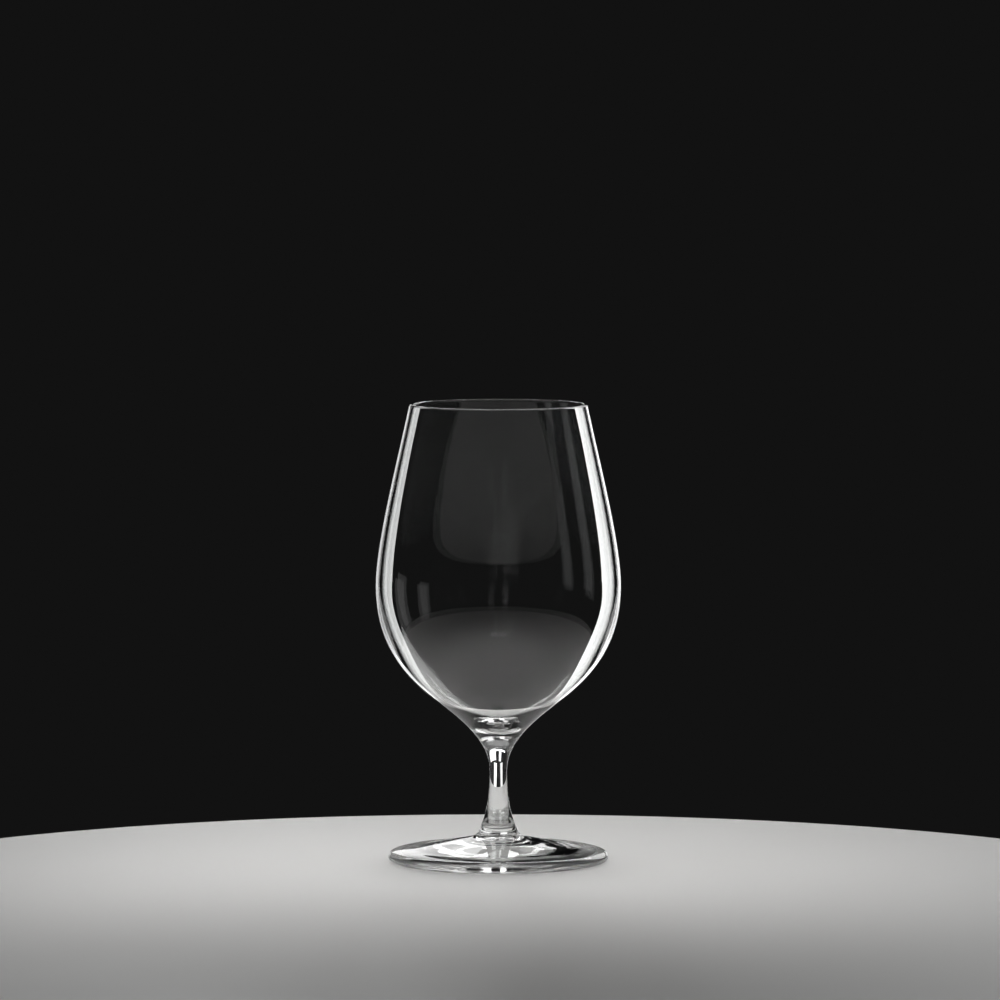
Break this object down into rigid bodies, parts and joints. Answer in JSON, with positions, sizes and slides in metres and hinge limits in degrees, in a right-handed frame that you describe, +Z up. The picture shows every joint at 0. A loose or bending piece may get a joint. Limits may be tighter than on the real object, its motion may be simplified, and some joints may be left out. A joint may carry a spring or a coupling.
{
  "type": "stemmed water glass",
  "caption": "Clear stemmed water glass: a tall bowl that narrows to the rim, drawn down into a short waisted stem on a round sloping foot.",
  "frame": {"origin": "centre of the ring that the foot rests on, on the table", "axes": "+Z up along the glass's axis; the glass is round, so X and Y may point anywhere"},
  "size_m": [0.0802, 0.0802, 0.15],
  "materials": {
    "clear_glass": "fire-polished, clear and colourless"
  },
  "bodies": {
    "root": {"bowl": "clear_glass", "stem": "clear_glass", "foot": "clear_glass"}
  },
  "joints": []
}
